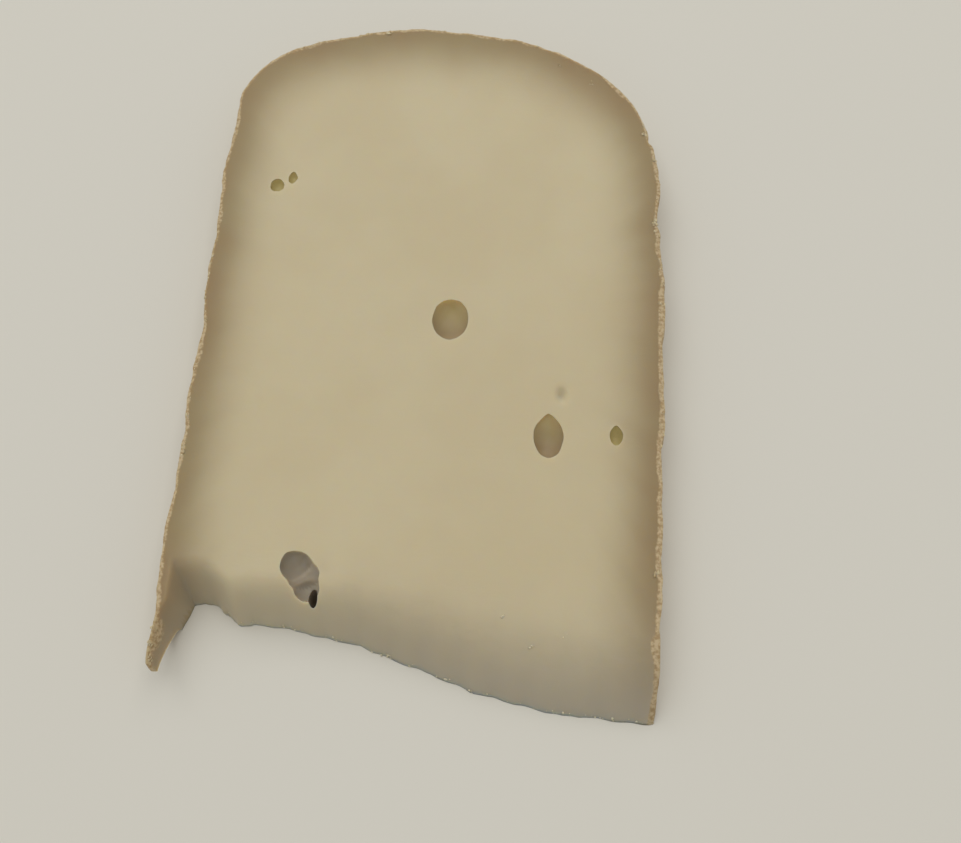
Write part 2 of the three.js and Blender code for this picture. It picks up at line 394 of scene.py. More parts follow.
def rough_border(path, side, dents):
    """A border pushed along its normal by the rind's waves, which fade out at both ends, and by its
    dents. Side is +1 where the outside is on the path's left."""
    shares = np.linspace(0, 1, BORDER_SAMPLES)
    points = at_shares(path, shares)
    fade = smoothstep(0, WAVE_FADE, shares) * smoothstep(1, 1 - WAVE_FADE, shares)
    push = fade * wave_at(RIND_WAVES, shares * along_path(path)[-1]) - dent_at(dents, points[:, 1])
    tangent = unit(np.gradient(points, axis=0))
    normal = np.column_stack([-tangent[:, 1], tangent[:, 0]])
    return points + side * push[:, None] * normal


def rind_borders():
    """The left side, the rim and the right side, each from its left or near end, of lines and arcs that
    meet at the middle of the shoulders."""
    left = shoulder_centre(-1, LEFT_SHOULDER)
    right = shoulder_centre(1, RIGHT_SHOULDER)
    rim_left, rim_right = (np.arctan2(c[1] - rim_centre[1], c[0] - RIM_CENTRE_X) for c in (left, right))
    left_split, right_split = 0.75 * np.pi, 0.25 * np.pi
    left_side = np.vstack([[(-half, near_y)], arc(left, LEFT_SHOULDER, np.pi, left_split)])
    t = np.linspace(0, 1, BORDER_SAMPLES)[:, None]
    start, control, end = np.array([
        (half - RIGHT_DRAW_IN, near_y), (half, (near_y + right[1]) / 2), (half, right[1])])
    draw_in = start * (1 - t) ** 2 + control * 2 * t * (1 - t) + end * t**2
    right_side = np.vstack([draw_in, arc(right, RIGHT_SHOULDER, 0, right_split)])
    rim = np.vstack([
        arc(left, LEFT_SHOULDER, left_split, rim_left),
        arc(rim_centre, RIM_RADIUS, rim_left, rim_right),
        arc(right, RIGHT_SHOULDER, rim_right, right_split),
    ])
    return (
        rough_border(left_side, 1, LEFT_DENTS),
        rough_border(rim, 1, []),
        rough_border(right_side, -1, RIGHT_DENTS),
    )


def rind_path():
    """The rind's whole outline as an open path, up the left side, round the rim and down the right side."""
    left, rim, right = rind_borders()
    return np.vstack([left, rim[1:], right[::-1][1:]])


def edge_sweep(x):
    """The broken end's long S as Y over X."""
    return EDGE_MIDDLE_Y - EDGE_SWING * np.tanh((x - EDGE_MIDDLE_X) / EDGE_REACH)


def near_line(x):
    """A curve just outside the broken end and the tongue's tip, as Y over X."""
    return edge_sweep(x) - NEAR_CLEAR - TONGUE_CLEAR * smoothstep(TONGUE_CLEAR_FROM_X, -half, x)


def crowded(cells, edge):
    """Shares from 0 to 1, with finer cells within a share of each end."""
    turns = [0, EDGE_CELLS, cells - EDGE_CELLS, cells]
    return np.interp(np.arange(cells + 1), turns, [0, edge, 1 - edge, 1])


def plan_patch():
    """The plan as a patch stretched between its four borders: the blend of the sides, plus the blend of
    the ends, less the blend of the corners. Rows run along the slice, columns across it."""
    u = crowded(CELLS_ACROSS, EDGE_SHARE_ACROSS)
    v = crowded(CELLS_ALONG, EDGE_SHARE_ALONG)
    left, rim, right = rind_borders()
    for side in (left, right):
        side[:, 1] = np.maximum(side[:, 1], near_line(side[0, 0]))
    x = np.linspace(left[0, 0], right[0, 0], BORDER_SAMPLES)
    near = at_shares(np.column_stack([x, near_line(x)]), u)
    left, rim, right = at_shares(left, v), at_shares(rim, u), at_shares(right, v)
    u, v = u[None, :, None], v[:, None, None]
    sides = mix(left[:, None], right[:, None], u)
    ends = mix(near[None], rim[None], v)
    corners = mix(mix(near[0], near[-1], u), mix(rim[0], rim[-1], u), v)
    return sides + ends - corners


def rind_depth(plan):
    """How far plan points lie inside the rind's outline. The outline, with both sides drawn on far past
    the broken end, is looked up by direction from the middle: the gap along the ray, times the cosine of
    the angle at which the ray meets the outline without its small waves."""
    path = rind_path()
    far_past = 3 * near_y
    path = np.vstack([(path[0, 0], far_past), path, (path[-1, 0], far_past)])
    path = at_shares(path, np.linspace(0, 1, OUTLINE_SAMPLES))
    step = np.arange(OUTLINE_SAMPLES)
    ahead = path[np.minimum(step + OUTLINE_SMOOTHING, OUTLINE_SAMPLES - 1)]
    behind = path[np.maximum(step - OUTLINE_SMOOTHING, 0)]
    tangent = unit(ahead - behind)
    ray = path - middle
    radius = np.hypot(*ray.T)
    cosine = np.abs(ray[:, 0] * tangent[:, 1] - ray[:, 1] * tangent[:, 0]) / radius
    direction = np.arctan2(ray[:, 0], ray[:, 1])
    order = np.argsort(direction)
    offset = plan - middle
    turn = np.arctan2(offset[..., 0], offset[..., 1])
    gap = np.interp(turn, direction[order], radius[order]) - np.linalg.norm(offset, axis=-1)
    return gap * np.interp(turn, direction[order], cosine[order])


def outward_at(plan):
    """The level direction straight out through the rind: where its depth falls fastest."""
    step = 0.4
    slope = [rind_depth(plan - shift) - rind_depth(plan + shift) for shift in step * np.eye(2)]
    return unit(np.stack(slope, axis=-1) + 1e-9)


# Relief

def bells(spots, plan):
    """The sum of bell-shaped spots, each given by its place, its reach across and along, and its height."""
    x, y = plan[..., 0], plan[..., 1]
    return sum(
        height * np.exp(-(((x - at_x) / across) ** 2) - ((y - at_y) / along) ** 2)
        for at_x, at_y, across, along, height in spots)


def broken_edge(x):
    """The thin edge of the broken end as Y over X: the long sweep, the notch and waves."""
    notch = NOTCH_DEPTH * smoothstep(NOTCH_FROM_X, NOTCH_FULL_X, x)
    return edge_sweep(x) + notch + wave_at(EDGE_WAVES, x)


def edge_rags(x):
    """How far small rags draw the thin edge in: fine ones all along, coarser ones round the notch."""
    line = np.stack([x, np.zeros_like(x), np.zeros_like(x)], axis=-1)
    coarse = smoothstep(NOTCH_FROM_X + NOTCH_RAG_FADE, NOTCH_FROM_X, x)
    return layered(RAG_LAYERS, line) + coarse * layered(NOTCH_RAG_LAYERS, line)


def fall_turn(x):
    """A smooth S from 0 on the left, where the fall is short, to 1 on the right, where it is long."""
    return (1 + np.tanh((x - FALL_TURN_X) / FALL_TURN)) / 2


def inside_break(plan):
    """0 on the broken end's thin edge and on the tongue's inner foot, 1 where the flat face begins. The
    rags fade on the way up."""
    x, y = plan[..., 0], plan[..., 1]
    run = mix(FALL_RUN_LEFT, FALL_RUN_RIGHT, fall_turn(x))
    main = (y - broken_edge(x)) / run
    main = main - edge_rags(x) / run * smoothstep(RAG_REACH, 0, main)
    flare = TONGUE_ROOT_FLARE * smoothstep(TONGUE_ROOT_Y - TONGUE_ROOT_LENGTH, TONGUE_ROOT_Y, y)
    taper = TONGUE_TAPER * smoothstep(TONGUE_ROOT_Y - TONGUE_ROOT_LENGTH, TONGUE_TIP_Y, y)
    inner = TONGUE_INNER_X + flare - taper - x
    tongue = np.minimum(inner / TONGUE_RUN, (y - TONGUE_TIP_Y) / TONGUE_TIP_RUN)
    return (main + tongue + np.hypot(main - tongue, FILLET)) / 2


def top_height(plan):
    """Height of the upper face: flat as cut with a slight swell, rounding down over the broken end."""
    inside = inside_break(plan)
    rise = np.where(inside < 0, FALL_ROUNDING * inside, 1 - (1 - np.clip(inside, 0, 1)) ** FALL_ROUNDING)
    x, y = plan[..., 0], plan[..., 1]
    swell = FACE_SWELL * np.sin(x / FACE_SWELL_ACROSS) * np.cos(y / FACE_SWELL_ALONG)
    return np.maximum(rise * (THICKNESS + swell), -UNDER_FACE)


def band_width(plan):
    """Width of the rind where the knife cut through it: thinner and thicker along the way, and more on
    the right side."""
    width = np.clip(BAND_WIDTH + layered(BAND_LAYERS, on_level(plan)), BAND_LEAST, BAND_MOST)
    right = smoothstep(*BAND_RIGHT_X, plan[..., 0]) * smoothstep(*BAND_RIGHT_Y, plan[..., 1])
    return width + BAND_RIGHT_EXTRA * right + bells(WIDE_RIND, plan)


def rind_relief(points):
    """How far the rind's outer side stands out: broad lumps and rough small ones, less the chips."""
    return layered(SIDE_LAYERS, points) - bells(CHIPS, points)


def face_relief(plan, depth):
    """Relief of the upper face: the rough rind within its band, with a rounded outer edge, the knife's
    faint drag on the paste, dimples, and the curdled unevenness of the broken fall."""
    points = on_level(plan)
    band = band_width(plan)
    in_band = smoothstep(band + BAND_BLUR, band - BAND_BLUR, depth)
    crust = layered(CRUST_LAYERS, points) - CORNER_DROP * smoothstep(CORNER_REACH, 0, depth)
    fall = np.clip(1 - inside_break(plan), 0, 1)
    paste = mix(layered(DRAG_LAYERS, points), layered(CURD_LAYERS, points), 4 * fall * (1 - fall))
    return in_band * crust + paste - bells(DIMPLES, plan)


def face_points(plan):
    """Points of the upper face over plan points. Near the rind they move outwards with the rind's
    relief, which fades over the first millimetres."""
    depth = rind_depth(plan)
    outward = outward_at(plan)
    height = top_height(plan) + face_relief(plan, depth)
    border = plan + np.maximum(depth, 0)[..., None] * outward
    push = rind_relief(on_level(border, height)) * np.exp(-np.maximum(depth, 0) / RELIEF_FADE)
    return on_level(plan + push[..., None] * outward, height)


# Meshes from arrays

def grid_faces(index):
    """Quads of a grid of point numbers, whose columns run right and rows up as seen from outside."""
    corners = [index[:-1, :-1], index[:-1, 1:], index[1:, 1:], index[1:, :-1]]
    return np.stack(corners, axis=-1).reshape(-1, 4)


def fan_faces(ring, point):
    """Triangles from a closed ring of point numbers, anticlockwise as seen from outside, to one point."""
    return np.stack([ring, np.roll(ring, -1), np.full(len(ring), point)], axis=-1)


def closed_grid(index):
    """A grid of point numbers whose last column meets its first."""
    return np.hstack([index, index[:, :1]])


def mesh_object(name, points, quads, triangles=np.empty((0, 3), int)):
    """An object from points in millimetres, four-sided faces and triangles."""
    mesh = bpy.data.meshes.new(name)
    corners = np.concatenate([quads.ravel(), triangles.ravel()])
    sizes = np.repeat([4, 3], [len(quads), len(triangles)])
    mesh.vertices.add(len(points))
    mesh.vertices.foreach_set("co", (points * MM).ravel())
    mesh.loops.add(len(corners))
    mesh.loops.foreach_set("vertex_index", corners)
    mesh.polygons.add(len(sizes))
    mesh.polygons.foreach_set("loop_start", np.cumsum(sizes) - sizes)
    mesh.polygons.foreach_set("use_smooth", np.ones(len(sizes), bool))
    mesh.update(calc_edges=True)
    made = bpy.data.objects.new(name, mesh)
    bpy.context.scene.collection.objects.link(made)
    return made


def points_of(mesh):
    """A mesh's points in millimetres as an array."""
    flat = np.empty(3 * len(mesh.vertices))
    mesh.vertices.foreach_get("co", flat)
    return flat.reshape(-1, 3) / MM


def store(mesh, name, values):
    """Keeps one number for each point of a mesh."""
    mesh.attributes.new(name, "FLOAT", "POINT").data.foreach_set("value", values.astype(np.float32))


def ball(rows, columns):
    """A unit ball with its ends on Y, in rows and columns: its points, quads and triangles."""
    polar = np.linspace(0, np.pi, rows + 2)[1:-1, None]
    turn = np.linspace(0, 2 * np.pi, columns, endpoint=False)
    grid = np.stack(np.broadcast_arrays(
        np.sin(polar) * np.cos(turn), np.cos(polar), np.sin(polar) * np.sin(turn)), axis=-1)
    points = np.vstack([grid.reshape(-1, 3), [(0, 1, 0), (0, -1, 0)]])
    index = np.arange(rows * columns).reshape(rows, columns)
    ends = np.vstack([fan_faces(index[0, ::-1], rows * columns), fan_faces(index[-1], rows * columns + 1)])
    return points, grid_faces(closed_grid(index)), ends


# The slab of cheese

def slab_blank():
    """The uncut slab: the upper face over the plan's patch, the rind wall in rows below its border,
    swelling at half its height and rough with the rind's relief, and a fan that closes it below."""
    plan = plan_patch()
    face = face_points(plan)
    index = np.arange(plan[..., 0].size).reshape(plan.shape[:2])
    border = np.concatenate([index[0, :-1], index[:-1, -1], index[-1, :0:-1], index[:0:-1, 0]])
    loop = plan.reshape(-1, 2)[border]
    top = face.reshape(-1, 3)[border, 2]
    level = mix(-UNDER, top, np.linspace(0, 1, WALL_ROWS + 1)[:-1, None] ** WALL_CROWDING)
    share = np.clip(level / np.maximum(top, 1e-6), 0, 1)
    relief = rind_relief(on_level(np.broadcast_to(loop, level.shape + (2,)), level))
    push = WALL_SWELL * 4 * share * (1 - share) + relief
    wall = on_level(loop + push[..., None] * outward_at(loop), level)
    points = np.vstack([face.reshape(-1, 3), wall.reshape(-1, 3), [(0, 0, -UNDER)]])
    rows = index.size + np.arange(wall[..., 0].size).reshape(wall.shape[:2])
    quads = np.vstack([grid_faces(index), grid_faces(closed_grid(np.vstack([rows, border])))])
    return mesh_object("slab_blank", points, quads, fan_faces(rows[0, ::-1], len(points) - 1))


def eye_shape(eye):
    """Centre and half sizes of the ball that leaves an eye of the stated opening and depth."""
    x, y, across, along, depth, _, sink, _ = eye
    spread = 1 / np.sqrt(1 - (sink / (1 - sink)) ** 2)
    centre = np.array([x, y, top_height(np.array([x, y])) - sink * depth])
    return centre, np.array([across / 2 * spread, along / 2 * spread, depth * (1 - sink)])


def eye_cutter(eye, seed):
    """One eye: a ball drawn to its opening and depth, its far end narrowed, its wall a little uneven."""
    centre, half_sizes = eye_shape(eye)
    directions, *faces = ball(EYE_ROWS, EYE_COLUMNS)
    narrowing, _, unevenness = eye[5:]
    narrow = 1 - narrowing * np.maximum(directions[:, 1:2], 0) ** 2
    shape = directions * np.hstack([narrow, np.ones_like(narrow), narrow]) * half_sizes
    uneven = 1 + layered([(EYE_UNEVEN_CELL, unevenness, EYE_UNEVEN_LAYERS, seed)], shape)
    return mesh_object(f"eye_{seed}", centre + shape * uneven[:, None], *faces)


def hollow_cutter():
    """The irregular hollow as one uneven skin: along each ray from its middle, the smooth greatest of
    the distances at which the ray leaves the lobes."""
    directions, *faces = ball(EYE_ROWS, EYE_COLUMNS)
    shapes = [eye_shape(lobe) for lobe in HOLLOW]
    hollow_middle = np.mean([centre for centre, _ in shapes], axis=0) - [0, 0, HOLLOW_DROP]
    reach = 0
    for centre, half_sizes in shapes:
        ray, offset = directions / half_sizes, (centre - hollow_middle) / half_sizes
        along = ray @ offset
        steep = (ray**2).sum(axis=1)
        inside = np.maximum(along**2 + steep * (1 - offset @ offset), 0)
        reach = reach + ((along + np.sqrt(inside)) / steep) ** HOLLOW_BLEND
    shape = HOLLOW_DRAW_IN * directions * (reach ** (1 / HOLLOW_BLEND))[:, None]
    uneven = 1 + layered(HOLLOW_LAYERS, shape)
    return mesh_object("hollow", hollow_middle + shape * uneven[:, None], *faces)


def undercut_cutter():
    """The hollow under the tongue's tip: a broad uneven ball."""
    directions, *faces = ball(EYE_ROWS, EYE_COLUMNS)
    shape = directions * UNDERCUT_HALF
    uneven = 1 + layered(UNDERCUT_LAYERS, shape)
    return mesh_object("undercut", UNDERCUT_PLACE + shape * uneven[:, None], *faces)


def level_cutter():
    """All that stands above the surface that the slice lies on: a block whose lower face is a fine grid,
    so that the underside has points all over."""
    across = np.arange(-LEVEL_HALF * WIDTH, LEVEL_HALF * WIDTH, UNDERSIDE_CELL)
    along = np.arange(-LEVEL_HALF * LENGTH, LEVEL_HALF * LENGTH, UNDERSIDE_CELL)
    lower = on_level(np.stack(np.meshgrid(across, along), axis=-1))
    index = np.arange(lower[..., 0].size).reshape(lower.shape[:2])
    upper = index + index.size
    edge = np.concatenate([index[0, :-1], index[:-1, -1], index[-1, :0:-1], index[:0:-1, 0]])
    quads = np.vstack([
        grid_faces(index[:, ::-1]),
        grid_faces(upper),
        grid_faces(closed_grid(np.stack([edge, edge + index.size]))),
    ])
    return mesh_object("level", np.vstack([lower, lower + [0, 0, 2 * THICKNESS]]).reshape(-1, 3), quads)


def tomme_slice():
    """The slab, hollowed under the tongue's tip and by its eyes, and cut level underneath."""
    body = slab_blank()
    eyes = [eye_cutter(eye, EYE_SEED + EYE_SEED_STEP * i) for i, eye in enumerate([*EYES, SLOT])]
    cutters = [undercut_cutter(), *eyes, hollow_cutter(), level_cutter()]
    for cutter in cutters:
        step = body.modifiers.new(cutter.name, "BOOLEAN")
        step.operation = "INTERSECT" if cutter is cutters[-1] else "DIFFERENCE"
        step.object = cutter
        step.solver = "MANIFOLD"
    depsgraph = bpy.context.evaluated_depsgraph_get()
    mesh = bpy.data.meshes.new_from_object(body.evaluated_get(depsgraph))
    for used in [body, *cutters]:
        bpy.data.objects.remove(used)
    mesh.name = "tomme_paste_and_rind"
    mesh.materials.clear()
    mesh.polygons.foreach_set("use_smooth", np.ones(len(mesh.polygons), bool))
    mesh.set_sharp_from_angle(angle=np.radians(SHARP_ANGLE))
    made = bpy.data.objects.new(mesh.name, mesh)
    bpy.context.scene.collection.objects.link(made)
    return made


def within(eyes, points):
    """1 on the walls of the eyes, 0 outside them, with a soft step between."""
    share = np.zeros(len(points))
    for eye in eyes:
        centre, half_sizes = eye_shape(eye)
        ratio = np.linalg.norm((points - centre) / half_sizes, axis=1)
        share = np.maximum(share, smoothstep(*EYE_WALL, ratio))
    return share


def far_side(eyes, points):
    """How far along the nearest eye each point lies: 0 at its near end, 1 at its far end."""
    eyes = np.array(eyes)
    offset = points[:, None, :2] - eyes[:, :2]
    nearest = np.linalg.norm(offset, axis=2).argmin(axis=1)
    opening_along = eyes[nearest, 3]
    return 0.5 + offset[np.arange(len(points)), nearest, 1] / opening_along


def store_facts(mesh):
    """Keeps at each point what the finish depends on: its depth inside the rind and the rind's width
    there, in millimetres, whether it is on the outer side, in an eye, in a narrow eye or in the hollow,
    how far along its eye it lies, which sets the painted light and shade of eye and hollow walls, how
    strong the darker margin inside the rind is, and how near the broken edge it is, which sets the
    broken fall's greyer colour, partly painted shade."""
    points = points_of(mesh)
    plan = points[:, :2]
    depth = rind_depth(plan)
    below = top_height(plan) - bells(DIMPLES, plan) - points[:, 2]
    above = points[:, 2] > FLOOR_CLEAR
    sunk = smoothstep(*EYE_EDGE, below) * above
    reach = MARGIN_REACH + MARGIN_RIM_EXTRA * smoothstep(*MARGIN_RIM_Y, plan[:, 1])
    reach = reach + layered(MARGIN_LAYERS, on_level(plan))
    # Greyer colour over the broken fall: partly the torn paste's own grey, partly painted shade, weaker on
    # the steep left part, which shades itself
    grey_and_shade = np.clip(1 - inside_break(plan) / BREAK_GREY_AND_SHADE_REACH, 0, 1) ** 2 * above
    facts = {
        "rind_depth": depth,
        "rind_band": band_width(plan),
        "rind_side": smoothstep(*SIDE_EDGE, below) * smoothstep(*SIDE_DEPTH, depth),
        "margin": np.exp(-((depth / reach) ** 2)),
        "in_eye": within(EYES, points) * sunk,
        "narrow_eye": within(NARROW_EYES, points),
        # Sets the painted light and shade on the walls of eyes and of the hollow: darker near wall, lighter
        # far wall
        "eye_far": far_side([*EYES, *HOLLOW], points),
        "in_hollow": within([*HOLLOW, SLOT], points) * sunk,
        "break_grey_and_painted_shade": grey_and_shade * mix(BREAK_GREY_AND_SHADE_LEFT, 1, fall_turn(plan[:, 0])),
    }
    for name, values in facts.items():
        store(mesh, name, values)


# Crumbs

def lumps(name, places, along, sizes, seed):
    """Many small uneven lumps as one skin: each is a ball of a few faces with its points pushed in and
    out at random, stretched to its three half sizes, laid along its own level direction with a random
    tilt, and set at its place."""
    rng = np.random.default_rng(seed)
    directions, quads, triangles = ball(LUMP_ROWS, LUMP_COLUMNS)
    count = len(places)
    up = unit([0, 0, 1] + LUMP_TILT * rng.uniform(-1, 1, (count, 3)))
    first = on_level(along + LUMP_TURN * rng.uniform(-1, 1, along.shape))
    first = unit(first - (first * up).sum(axis=1, keepdims=True) * up)
    axes = np.stack([first, np.cross(up, first), up], axis=1) * sizes[:, :, None]
    uneven = 1 + LUMP_UNEVEN * rng.uniform(-1, 1, (count, len(directions), 1))
    points = places[:, None] + (directions * uneven) @ axes
    offset = len(directions) * np.arange(count)[:, None, None]
    made = mesh_object(
        name, points.reshape(-1, 3), (quads + offset).reshape(-1, 4), (triangles + offset).reshape(-1, 3))
    store(made.data, "shade", np.repeat(rng.uniform(0, 1, count), len(directions)))
    return made


def scattered(spots, rng):
    """Plan points and half sizes of lumps scattered about spots, each given by its place, how far they
    scatter, how many there are and their half size."""
    spots = np.array(spots)
    x, y, reach, count, size = np.repeat(spots, spots[:, 3].astype(int), axis=0).T
    plan = np.column_stack([x, y]) + reach[:, None] * rng.normal(0, SCATTER, (len(x), 2))
    return plan, size


def crumb_sizes(size, shape, rng):
    """Half length, width and height of each lump, in the stated shape and each a little different."""
    return size[:, None] * shape * rng.uniform(*CRUMB_SPREAD, (len(size), 3))


def rind_crumbs():
    """Crumbs of rind on its cut edge, in clusters along the outline, and at a few spots of their own."""
    rng = np.random.default_rng(RIND_SEED)
    border = at_shares(rind_path(), rng.uniform(*RIND_SHARES, RIND_DRAWS))
    clusters = soft_noise(on_level(border), CLUSTER_CELL, CLUSTER_SEED)
    border = border[clusters > rng.uniform(*CLUSTER_LEVELS, len(border))]
    outward = outward_at(border)
    plan = border - (rng.uniform(0, 1, len(border)) * band_width(border))[:, None] * outward
    spot_plan, spot_size = scattered(RIND_SPOTS, rng)
    plan = np.vstack([plan, spot_plan])
    size = RIND_CRUMB_SIZE * np.exp(rng.normal(0, RIND_CRUMB_SPREAD, len(border)))
    size = np.append(np.clip(size, *RIND_CRUMB_LIMITS), spot_size)
    outward = outward_at(plan)
    places = face_points(plan)
    kept = (places[:, 2] > RIND_CRUMB_LEVEL) & (rind_depth(plan) > RIND_CRUMB_DEPTH)
    along = np.column_stack([-outward[:, 1], outward[:, 0]])
    sizes = crumb_sizes(size, FLAT_FLAKE, rng)
    return lumps("rind_crumbs", places[kept], along[kept], sizes[kept], RIND_LUMP_SEED)


def paste_crumbs():
    """Crumbs of paste: a row along the foot of the broken end, and a few specks on the face."""
    rng = np.random.default_rng(PASTE_SEED)
    x = rng.uniform(*FOOT_X, FOOT_DRAWS)
    foot = np.column_stack([x, broken_edge(x) + edge_rags(x) + rng.uniform(0, FOOT_REACH, len(x))])
    spot_plan, spot_size = scattered(PASTE_SPOTS, rng)
    plan = np.vstack([foot, spot_plan])
    size = np.append(rng.uniform(*FOOT_SIZES, len(x)), spot_size)
    places = face_points(plan)
    places[:, 2] = np.maximum(places[:, 2], size) + PASTE_CRUMB_LIFT * size
    sizes = crumb_sizes(size, ROUND_CRUMB, rng)
    return lumps("paste_crumbs", places, np.ones_like(plan), sizes, PASTE_LUMP_SEED)


# Finishes

def linear(code):
    """A colour from its sRGB hex code, as linear red, green, blue and alpha."""
    levels = np.array([int(code[i:i + 2], 16) for i in (1, 3, 5)]) / 255
    tone = np.where(levels <= 0.04045, levels / 12.92, ((levels + 0.055) / 1.055) ** 2.4)
    return (*tone, 1.0)


def add(tree, kind, inputs, output=0, **settings):
    """Adds a node with its settings, and returns one of its outputs. Inputs are values, or outputs of
    other nodes to link, by socket."""
    made = tree.nodes.new(kind)
    for name, value in settings.items():
        setattr(made, name, value)
    for socket, value in inputs.items():
        if isinstance(value, bpy.types.NodeSocket):
            tree.links.new(value, made.inputs[socket])
        else:
            made.inputs[socket].default_value = value
    return made.outputs[output] if len(made.outputs) else made


def new_finish(name):
    """A node material with nothing in it yet."""
    material = bpy.data.materials.new(name)
    material.use_nodes = True
    material.node_tree.nodes.clear()
    return material, material.node_tree


def tomme_finish():
    """Pressed semi-hard paste, cut with a knife: ivory, moist and slightly see-through, darker and
    browner before the rind, greyer towards the broken end, partly as painted shade. Painted light and
    shade even out the walls of the eyes and of the hollow. The rind is dry, rough and matt."""
    material, tree = new_finish("pressed_tomme_paste_with_natural_rind")
    place = add(tree, "ShaderNodeTexCoord", {}, "Object")
    # The knife was drawn across the slice, so its lines run along X
    drawn_out = add(tree, "ShaderNodeMapping", {"Vector": place, "Scale": (0.12, 1, 1)})
    # Lumps of each pattern, in millimetres across, how many finer layers it has, and the place it reads.
    # The paste's pores and the lines of the knife's drag are finer than this, and are drawn coarse enough
    # to show
    patterns = {
        "cloud": (22, 2, place),
        "patches": (3.5, 4, place),
        "flecks": (0.8, 3, place),
        "pores": (0.45, 2, place),
        "drag": (1.2, 2, drawn_out),
    }
    noise = {
        name: add(tree, "ShaderNodeTexNoise", {
            "Vector": vector, "Scale": 1 / (size * MM), "Detail": detail})
        for name, (size, detail, vector) in patterns.items()
    }
    fact = {
        name: add(tree, "ShaderNodeAttribute", {}, "Fac", attribute_name=name)
        for name in (
            "rind_depth", "rind_band", "rind_side", "margin",
            "in_eye", "narrow_eye", "eye_far", "in_hollow", "break_grey_and_painted_shade")
    }
    # How ragged the rind's inner line is, in millimetres
    ragged = add(tree, "ShaderNodeMath", {
        0: noise["flecks"], 1: 0.6, 2: fact["rind_band"]}, operation="MULTIPLY_ADD")
    inner = add(tree, "ShaderNodeMath", {0: ragged, 1: fact["rind_depth"]}, operation="SUBTRACT")
    ranges = {
        "clouded": (noise["cloud"], 0.3, 0.7),
        "on_rind": (inner, 0.1, 0.55),
        "pale_fleck": (noise["flecks"], 0.36, 0.62),
        "bloom": (noise["patches"], 0.28, 0.72),
        "eye_painted_light_share": (fact["eye_far"], 0.3, 1.05),
    }
    share = {
        name: add(tree, "ShaderNodeMapRange", {
            0: value, 1: low, 2: high}, interpolation_type="SMOOTHSTEP", clamp=True)
        for name, (value, low, high) in ranges.items()
    }
    # Each tone runs from one colour to another by a share: dry rind where it is cut, its outer side with its
    # bloom, the margin before it, and painted light and shade in the eyes and the hollow: a darker near wall
    # and a lighter far wall, with the hollow painted darker still as painted shade
    tones = {
        "crust": ("pale_fleck", "#a8906b", "#c8b592"),
        "side": ("bloom", "#97794f", "#c9b48f"),
        "margin": ("clouded", "#a08f69", "#9d8762"),
        "wide_eye": ("eye_painted_light_share", "#ab9776", "#e6d7a6"),
        "narrow_eye": ("eye_painted_light_share", "#c0b17d", "#ddd19a"),
        "hollow": ("eye_painted_light_share", "#9c907d", "#b9ae99"),
    }
    tone = {
        name: add(tree, "ShaderNodeMix", {
            0: share[by], 6: linear(low), 7: linear(high)}, 2, data_type="RGBA")
        for name, (by, low, high) in tones.items()
    }
    eye = add(tree, "ShaderNodeMix", {
        0: fact["narrow_eye"], 6: tone["wide_eye"], 7: tone["narrow_eye"]}, 2, data_type="RGBA")
    colour = linear("#d2c6a5")
    for layer, over in (
        (share["clouded"], linear("#cfc2a0")),
        (fact["margin"], tone["margin"]),
        # The broken fall's greyer colour is partly the torn paste's own and partly painted shade
        (fact["break_grey_and_painted_shade"], linear("#bcb3a1")),
        # Eye and hollow walls carry painted light and shade; the hollow's darker colour is painted shade
        (fact["in_eye"], eye),
        (fact["in_hollow"], tone["hollow"]),
        (share["on_rind"], tone["crust"]),
        (fact["rind_side"], tone["side"]),
    ):
        colour = add(tree, "ShaderNodeMix", {0: layer, 6: colour, 7: over}, 2, data_type="RGBA")
    # Roughness and glow from within, each of the paste and of the rind, and the glow in narrow eyes
    rough = add(tree, "ShaderNodeMix", {0: share["on_rind"], 2: 0.55, 3: 0.85})
    glow = add(tree, "ShaderNodeMix", {0: share["on_rind"], 2: 1.0, 3: 0.3})
    glow = add(tree, "ShaderNodeMix", {0: fact["narrow_eye"], 2: glow, 3: 0.2})
    # How much pores, drag and grain stand out, as shares of the bump's height
    fine = add(tree, "ShaderNodeMath", {0: noise["pores"], 1: 0.1}, operation="MULTIPLY")
    cut = add(tree, "ShaderNodeMath", {0: noise["drag"], 1: 0.15, 2: fine}, operation="MULTIPLY_ADD")
    grain = add(tree, "ShaderNodeMath", {0: noise["flecks"], 1: 0.3}, operation="MULTIPLY")
    height = add(tree, "ShaderNodeMix", {0: share["on_rind"], 2: cut, 3: grain})
    bump = add(tree, "ShaderNodeBump", {"Height": height, "Distance": 0.25 * MM, "Strength": 0.7})
    surface = add(tree, "ShaderNodeBsdfPrincipled", {
        "Base Color": colour,
        "Roughness": rough,
        "IOR": 1.42,
        "Specular IOR Level": 0.35,
        "Subsurface Weight": glow,
        "Subsurface Radius": (1.0, 0.72, 0.4),
        "Subsurface Scale": 3 * MM,
        "Normal": bump,
    }, subsurface_method="RANDOM_WALK")
    add(tree, "ShaderNodeOutputMaterial", {"Surface": surface})
    return material


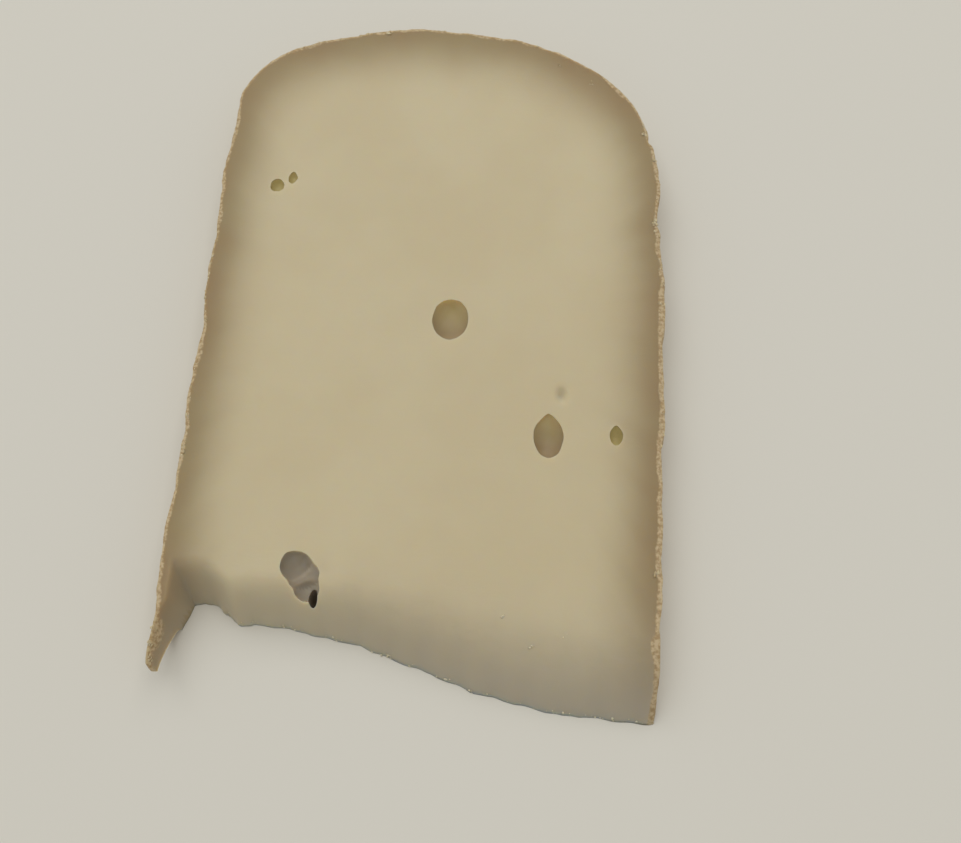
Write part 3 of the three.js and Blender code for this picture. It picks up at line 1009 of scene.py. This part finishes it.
def crumb_finish(name, dark, pale):
    """Small dry crumbs: matt, each of its own shade between two colours."""
    material, tree = new_finish(name)
    shade = add(tree, "ShaderNodeAttribute", {}, "Fac", attribute_name="shade")
    place = add(tree, "ShaderNodeTexCoord", {}, "Object")
    grit = add(tree, "ShaderNodeTexNoise", {"Vector": place, "Scale": 1 / (0.4 * MM), "Detail": 2})
    colour = add(tree, "ShaderNodeMix", {0: shade, 6: linear(dark), 7: linear(pale)}, 2, data_type="RGBA")
    bump = add(tree, "ShaderNodeBump", {"Height": grit, "Distance": 0.1 * MM, "Strength": 0.8})
    surface = add(tree, "ShaderNodeBsdfPrincipled", {
        "Base Color": colour,
        "Roughness": 0.8,
        "Subsurface Weight": 0.3,
        "Subsurface Radius": (1.0, 0.72, 0.4),
        "Subsurface Scale": 1 * MM,
        "Normal": bump,
    }, subsurface_method="RANDOM_WALK")
    add(tree, "ShaderNodeOutputMaterial", {"Surface": surface})
    return material


def floor_finish():
    """Matt painted board: plain, pale and evenly lit."""
    material, tree = new_finish("matt_pale_board")
    surface = add(tree, "ShaderNodeBsdfPrincipled", {"Base Color": linear("#dedbd0"), "Roughness": 0.8})
    add(tree, "ShaderNodeOutputMaterial", {"Surface": surface})
    return material


# The scene

def camera(shift):
    """The camera at the photograph's viewing angle, moved with the drawn pieces."""
    data = bpy.data.cameras.new("camera")
    data.sensor_width = SENSOR
    data.lens = FOCAL_PIXELS / PICTURE_WIDTH * SENSOR
    data.clip_start = CLIP_START * MM
    made = bpy.data.objects.new("camera", data)
    made.location = (np.array(CAMERA_PLACE) + shift) * MM
    made.rotation_euler = np.radians((CAMERA_TILT, 0, CAMERA_TURN))
    bpy.context.scene.collection.objects.link(made)
    bpy.context.scene.camera = made


def soft_light(name, place, size, power):
    """A square soft box that faces the slice."""
    data = bpy.data.lights.new(name, "AREA")
    data.size = size * MM
    data.energy = power
    made = bpy.data.objects.new(name, data)
    made.location = np.array(place) * MM
    made.rotation_euler = (-made.location).to_track_quat("-Z", "Y").to_euler()
    bpy.context.scene.collection.objects.link(made)


def studio():
    """A pale floor, a wide soft box behind and above the far end, and even light from all round."""
    corners = FLOOR_HALF * np.array([(-1, -1, 0), (1, -1, 0), (1, 1, 0), (-1, 1, 0)])
    floor = mesh_object("floor", corners, np.array([[0, 1, 2, 3]]))
    floor.data.materials.append(floor_finish())
    soft_light("far_soft_box", SOFT_BOX_PLACE, SOFT_BOX_SIZE, SOFT_BOX_POWER)
    world = bpy.data.worlds.new("studio")
    world.use_nodes = True
    world.node_tree.nodes["Background"].inputs["Color"].default_value = linear("#f4f2ee")
    world.node_tree.nodes["Background"].inputs["Strength"].default_value = ROUND_LIGHT
    bpy.context.scene.world = world
    bpy.context.scene.view_settings.view_transform = "Standard"


def set_in_frame(pieces):
    """Moves the drawn pieces alike, so that the middle of the first one's box is over the middle of the
    solid's box, and lets them ride with the solid. Returns the move."""
    drawn = points_of(pieces[0].data)
    box_middle = (drawn.min(axis=0) + drawn.max(axis=0)) / 2
    shift = ((np.array(cad_low) + np.array(cad_high)) / 2 / MM - box_middle) * [1, 1, 0]
    for piece in pieces:
        piece.data.vertices.foreach_set("co", ((points_of(piece.data) + shift) * MM).ravel())
        piece.data.update()
        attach(piece, "root")
    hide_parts("tomme_slice")
    return shift


slice_piece = tomme_slice()
store_facts(slice_piece.data)
slice_piece.data.materials.append(tomme_finish())
rind_bits = rind_crumbs()
rind_bits.data.materials.append(crumb_finish("dry_rind_crumbs", "#bfa87f", "#e3d2a8"))
paste_bits = paste_crumbs()
paste_bits.data.materials.append(crumb_finish("dry_paste_crumbs", "#d6c9a6", "#efe4c4"))
camera(set_in_frame([slice_piece, rind_bits, paste_bits]))
studio()
